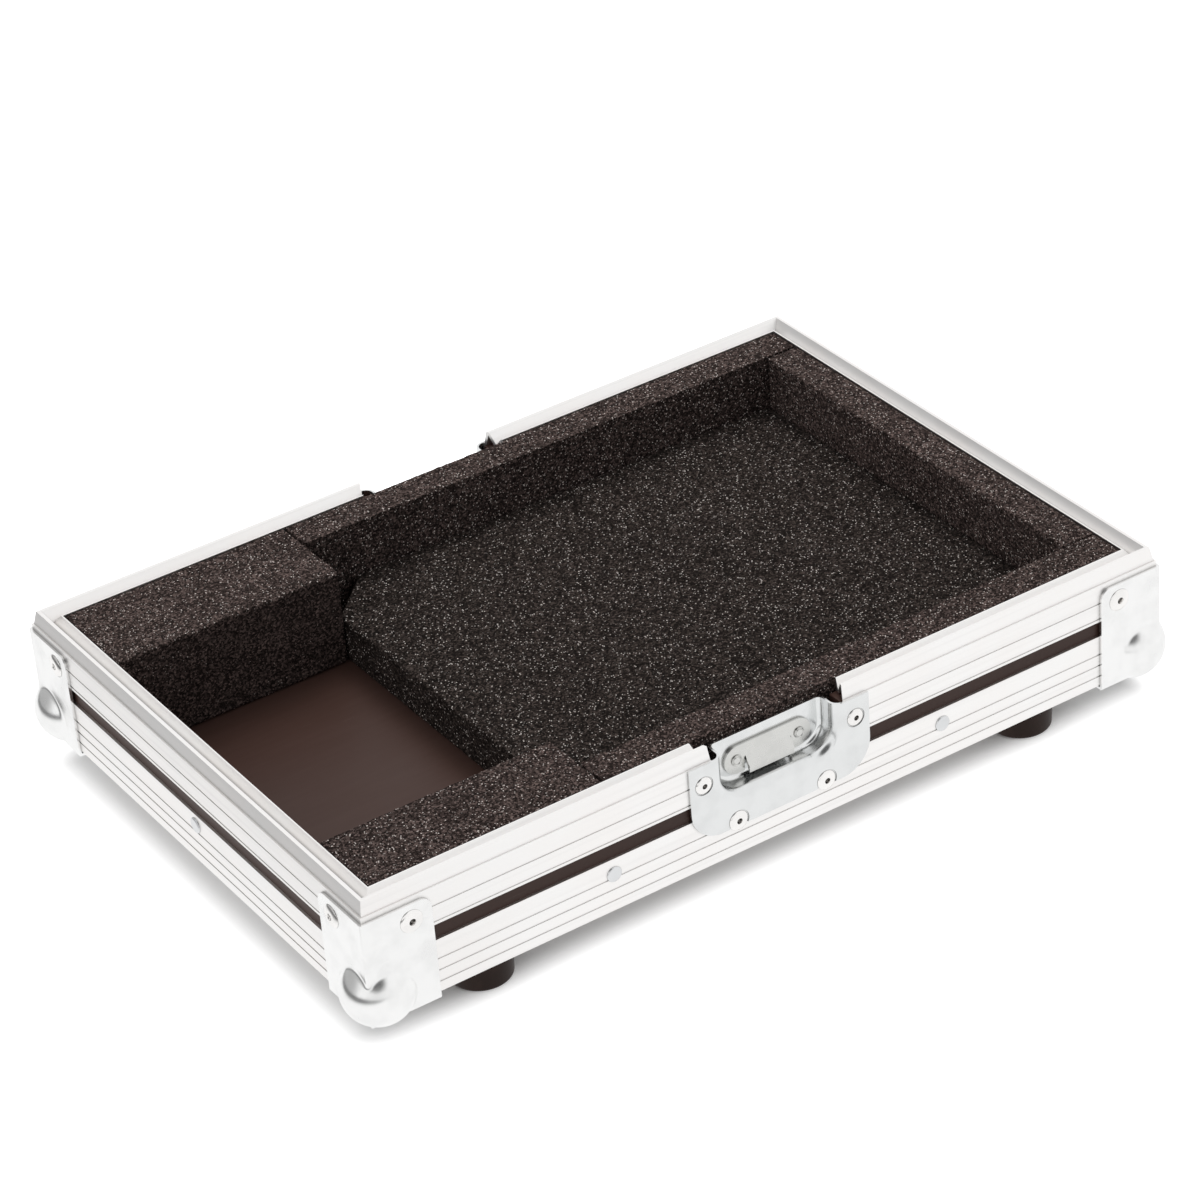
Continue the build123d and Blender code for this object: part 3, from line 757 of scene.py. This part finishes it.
def turned_group(name, node, profile, head_height, material):
    """A shape turned from profile(head radius) at the seat of every rivet in a node."""
    group = bmesh.new()
    for seat, head_radius in seats(node, head_height):
        single = turned(profile(head_radius))
        bmesh.ops.transform(single, matrix=seat, verts=single.verts)
        mesh = bpy.data.meshes.new("single")
        single.to_mesh(mesh)
        single.free()
        group.from_mesh(mesh)
        bpy.data.meshes.remove(mesh)
    piece = new_piece(name, group, material)
    piece.data.shade_smooth()
    piece.data.set_sharp_from_angle(angle=sharp_edge_angle)
    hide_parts(node)
    print(name, "faces:", len(piece.data.polygons))


# %% [markdown]
# Blind rivets hold the dishes and the ball corners. Their profile starts on the axis, at the end of the
# broken pin, goes down the gap round it, up the wall of the bore, over the lip and the dome to the rim,
# and back to the axis along the shank.

# %% Blind rivets
blind_head = 0.0013
blind_grip = 0.0085
bore_radius = 0.0013
bore_share = 0.28  # of the head, taken by the mouth of the bore
shank_radius = 0.0020


def blind_profile(head_radius):
    """The outline of a blind rivet of one head radius, from the pin's end to the shank's end."""
    mouth = bore_share * head_radius
    lip = mouth + 0.0004
    flank = head_radius - lip
    return [
        (0, -0.0016),  # end of the broken pin
        (0.0006, -0.0015),
        (0.0010, -0.0018),
        (0.0010, -0.0040),  # gap round the pin
        (bore_radius, -0.0040),
        (bore_radius, -0.0004),
        (mouth, 0.0009),
        (mouth + 0.0001, 0.0012),  # rolled lip
        (lip, blind_head),
        (lip + 0.30 * flank, 0.96 * blind_head),
        (lip + 0.55 * flank, 0.82 * blind_head),
        (lip + 0.76 * flank, 0.60 * blind_head),
        (lip + 0.92 * flank, 0.36 * blind_head),
        (head_radius, 0.16 * blind_head),
        (head_radius, 0),
        (shank_radius, 0),
        (shank_radius, -blind_grip),
        (0, -blind_grip),
    ]


turned_group("blind_rivets_of_dishes", "latch_rivets", blind_profile, blind_head, rivet_metal)
turned_group("blind_rivets_of_corners", "corner_rivets", blind_profile, blind_head, rivet_metal)

# %% [markdown]
# The rivets on the edge angles have flat closed heads, and those of the keeper are smaller, with a ring
# pressed into them by the setting tool.

# %% Closed rivets
flat_head = 0.0009
flat_grip = 0.0075
keeper_head = 0.0008
keeper_grip = 0.0027
keeper_shank_radius = 0.0018


def flat_profile(head_radius):
    """A flat disc with a rounded rim, slightly hollow in the middle."""
    return [
        (0, 0.00078),
        (head_radius - 0.00145, 0.00086),
        (head_radius - 0.00105, flat_head),
        (head_radius - 0.00055, 0.00078),
        (head_radius - 0.00015, 0.0005),
        (head_radius, 0.0002),
        (head_radius, 0),
        (shank_radius, 0),
        (shank_radius, -flat_grip),
        (0, -flat_grip),
    ]


def keeper_profile(head_radius):
    """A small disc with the setting tool's ring in it."""
    return [
        (0, 0.00062),
        (head_radius - 0.00120, 0.00062),
        (head_radius - 0.00100, 0.00040),
        (head_radius - 0.00070, 0.00040),
        (head_radius - 0.00050, 0.00072),
        (head_radius - 0.00030, keeper_head),
        (head_radius - 0.00005, 0.0006),
        (head_radius, 0.0003),
        (head_radius, 0),
        (keeper_shank_radius, 0),
        (keeper_shank_radius, -keeper_grip),
        (0, -keeper_grip),
    ]


turned_group("closed_rivets_of_angles", "angle_rivets", flat_profile, flat_head, fastener_zinc)
turned_group("closed_rivets_of_keepers", "keeper_rivets", keeper_profile, keeper_head, keeper_zinc)
